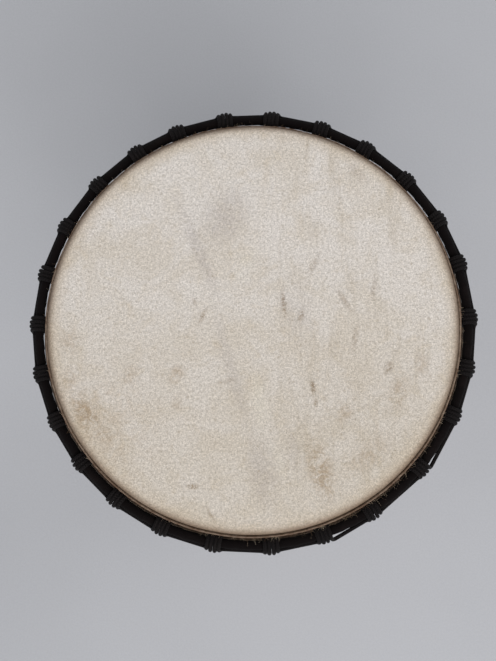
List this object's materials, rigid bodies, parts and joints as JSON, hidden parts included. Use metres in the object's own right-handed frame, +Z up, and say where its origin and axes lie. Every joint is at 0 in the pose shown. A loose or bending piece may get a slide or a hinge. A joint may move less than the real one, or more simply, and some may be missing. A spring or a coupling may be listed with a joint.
{
  "type": "goblet drum",
  "caption": "Rope-tuned goblet hand drum: carved wooden shell, goatskin head, cloth-wrapped crown ring with hitched rope loops.",
  "frame": {"origin": "centre of the foot's flat face, on the surface the drum stands on", "axes": "+Z up the drum's axis to the head; +X to the right and -Y towards the player in the picture"},
  "size_m": [0.3355, 0.3345, 0.6],
  "materials": {
    "wood": "oiled, satin",
    "goatskin": "untreated rawhide, matt",
    "steel_rod": "plain drawn rod",
    "black_cloth": "cotton strip, wound",
    "black_rope": "braided cord, matt"
  },
  "bodies": {
    "drum": {"shell": "wood", "head_skin": "goatskin", "base_ring": "steel_rod", "base_ring_wrap": "black_cloth", "base_loops": "black_rope", "tuning_rope": "black_rope", "rope_tail": "black_rope", "tail_knot": "black_rope"},
    "crown": {"crown_ring": "steel_rod", "crown_ring_wrap": "black_cloth", "crown_loops": "black_rope", "flesh_ring": "steel_rod"}
  },
  "joints": [
    {"name": "crown_tuning", "type": "slide", "parent": "drum", "child": "crown", "axis": [0, 0, 1], "range_m": [-0.006, 0], "deforming": ["head_skin", "tuning_rope"]}
  ]
}
